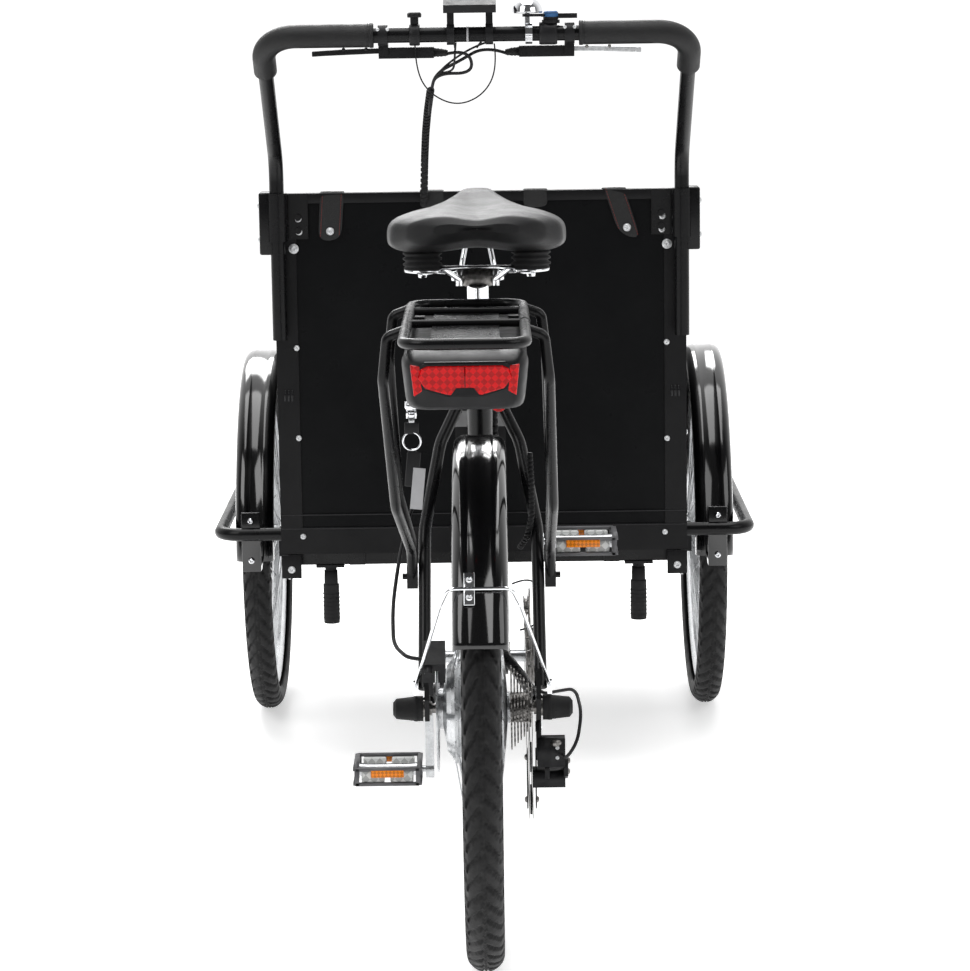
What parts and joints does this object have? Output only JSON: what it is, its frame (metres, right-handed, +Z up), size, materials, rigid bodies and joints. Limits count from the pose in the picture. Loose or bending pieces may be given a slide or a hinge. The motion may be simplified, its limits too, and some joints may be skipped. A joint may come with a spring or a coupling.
{
  "type": "cargo tricycle",
  "caption": "Pedal cargo tricycle with a steered box between the two front wheels, an electric rear hub wheel and a battery carrier.",
  "frame": {"origin": "middle of the bounding box in plan, on the ground under the tyres", "axes": "+X forward towards the cargo box, +Y to the rider's left, +Z up"},
  "size_m": [2.1766, 0.866, 1.2193],
  "materials": {
    "frame_paint": "satin black powder coat",
    "guard_gloss": "gloss black",
    "board": "matte black faced board",
    "angle": "satin black aluminium section",
    "tyre": "moulded rubber",
    "bright": "bright plated steel",
    "alloy": "brushed",
    "steel": "oiled steel",
    "rubber": "matte",
    "plastic": "moulded",
    "saddle": "grained synthetic leather",
    "upholstery": "stitched synthetic leather",
    "lens": "moulded red lens",
    "pedal": "grey alloy body"
  },
  "bodies": {
    "rear_frame": {"main_frame": "frame_paint", "seat_clamp": "frame_paint", "rear_mudguard": "guard_gloss", "mudguard_stay": "bright", "rear_axle": "steel", "axle_caps": "rubber", "rear_caliper": "plastic", "bottom_bracket": "steel", "chain": "steel", "derailleur": "plastic", "rear_carrier": "frame_paint", "controller_box": "plastic", "rear_cables": "plastic"},
    "rear_wheel": {"rear_tyre": "tyre", "rear_rim": "alloy", "hub_motor": "alloy"},
    "freewheel": {"freewheel": "steel"},
    "jockey_upper": {"jockey_upper": "plastic"},
    "jockey_lower": {"jockey_lower": "plastic"},
    "crankset": {"crank_arms": "alloy", "chainring": "steel"},
    "pedal_left": {"pedal_left": "pedal"},
    "pedal_right": {"pedal_right": "pedal"},
    "seat": {"seat_post": "bright", "saddle_frame": "bright", "saddle_cover": "saddle"},
    "battery": {"battery_case": "plastic", "tail_light": "lens"},
    "key": {"battery_key": "steel"},
    "steer_box": {"rear_panel": "board", "box_panels": "board", "box_frame": "angle", "bench": "board", "seat_cushion": "upholstery", "back_cushion": "upholstery", "cushion_straps": "upholstery", "front_subframe": "frame_paint", "wheel_hoops": "frame_paint", "front_mudguards": "guard_gloss", "box_legs": "rubber", "bar_sleeves": "frame_paint", "front_calipers": "plastic"},
    "front_wheel_left": {"front_tyre_left": "tyre", "front_rim_left": "alloy", "front_hub_left": "alloy"},
    "front_wheel_right": {"front_tyre_right": "tyre", "front_rim_right": "alloy", "front_hub_right": "alloy"},
    "handlebar": {"handlebar_tube": "frame_paint", "grips": "upholstery", "brake_bodies": "plastic", "display": "plastic", "bell": "bright", "control_clamps": "plastic", "bar_harness": "plastic"},
    "brake_left": {"brake_blade_left": "plastic"},
    "brake_right": {"brake_blade_right": "alloy"},
    "bell_lever": {"bell_lever": "plastic"},
    "shift_lever": {"shift_lever": "plastic"},
    "thumb_control": {"thumb_control": "plastic"}
  },
  "joints": [
    {"name": "steering", "type": "hinge", "parent": "rear_frame", "child": "steer_box", "pos_m": [0.50325, 0, 0.3], "axis": [0, 0, 1], "range_deg": [-30, 30]},
    {"name": "rear_wheel_spin", "type": "hinge", "parent": "rear_frame", "child": "rear_wheel", "pos_m": [-0.72675, 0, 0.331], "axis": [0, 1, 0], "continuous": true},
    {"name": "front_wheel_left_spin", "type": "hinge", "parent": "steer_box", "child": "front_wheel_left", "pos_m": [0.68825, 0.3725, 0.3], "axis": [0, 1, 0], "continuous": true},
    {"name": "front_wheel_right_spin", "type": "hinge", "parent": "steer_box", "child": "front_wheel_right", "pos_m": [0.68825, -0.3725, 0.3], "axis": [0, 1, 0], "continuous": true},
    {"name": "crank_spin", "type": "hinge", "parent": "rear_frame", "child": "crankset", "pos_m": [-0.24875, 0, 0.29], "axis": [0, 1, 0], "continuous": true},
    {"name": "freewheel_spin", "type": "hinge", "parent": "rear_frame", "child": "freewheel", "pos_m": [-0.72675, -0.05, 0.331], "axis": [0, 1, 0], "continuous": true},
    {"name": "upper_pulley_spin", "type": "hinge", "parent": "rear_frame", "child": "jockey_upper", "pos_m": [-0.71475, -0.06, 0.263], "axis": [0, 1, 0], "continuous": true},
    {"name": "lower_pulley_spin", "type": "hinge", "parent": "rear_frame", "child": "jockey_lower", "pos_m": [-0.69875, -0.06, 0.203], "axis": [0, 1, 0], "continuous": true},
    {"name": "pedal_left_spin", "type": "hinge", "parent": "crankset", "child": "pedal_left", "pos_m": [-0.22803, 0.14, 0.12127], "axis": [0, 1, 0], "continuous": true},
    {"name": "pedal_right_spin", "type": "hinge", "parent": "crankset", "child": "pedal_right", "pos_m": [-0.26947, -0.14, 0.45873], "axis": [0, 1, 0], "continuous": true},
    {"name": "seat_height", "type": "slide", "parent": "rear_frame", "child": "seat", "axis": [-0.4147, 0, 0.91], "range_m": [0, 0.1]},
    {"name": "battery_slide", "type": "slide", "parent": "rear_frame", "child": "battery", "axis": [-1, 0, 0], "range_m": [0, 0.38]},
    {"name": "key_swing", "type": "hinge", "parent": "battery", "child": "key", "pos_m": [-0.97675, 0.077, 0.743], "axis": [0, 1, 0], "range_deg": [-35, 35]},
    {"name": "bar_height", "type": "slide", "parent": "steer_box", "child": "handlebar", "axis": [0, 0, 1], "range_m": [-0.02, 0.08]},
    {"name": "brake_left_pull", "type": "hinge", "parent": "handlebar", "child": "brake_left", "pos_m": [0.00725, 0.122, 1.134], "axis": [0, 0, 1], "range_deg": [0, 12], "stiffness_Nm_per_rad": 1, "springref_deg": -17.19},
    {"name": "brake_right_pull", "type": "hinge", "parent": "handlebar", "child": "brake_right", "pos_m": [0.00725, -0.122, 1.134], "axis": [0, 0, 1], "range_deg": [-12, 0], "stiffness_Nm_per_rad": 1, "springref_deg": 17.19},
    {"name": "bell_strike", "type": "hinge", "parent": "handlebar", "child": "bell_lever", "pos_m": [-0.02675, -0.074, 1.186], "axis": [0, 0, 1], "range_deg": [-25, 0], "stiffness_Nm_per_rad": 0.1, "springref_deg": 17.19},
    {"name": "shift_click", "type": "hinge", "parent": "handlebar", "child": "shift_lever", "pos_m": [-0.02675, -0.108, 1.184], "axis": [0, 0, 1], "range_deg": [-18, 18]},
    {"name": "thumb_turn", "type": "hinge", "parent": "handlebar", "child": "thumb_control", "pos_m": [-0.02675, 0.089, 1.18], "axis": [0, 0, 1], "range_deg": [0, 60], "stiffness_Nm_per_rad": 0.05, "springref_deg": -17.19}
  ],
  "couplings": [
    {"joint": "freewheel_spin", "follows": "crank_spin", "ratio": 3},
    {"joint": "lower_pulley_spin", "follows": "crank_spin", "ratio": 3.8182},
    {"joint": "upper_pulley_spin", "follows": "crank_spin", "ratio": -3.8182}
  ]
}
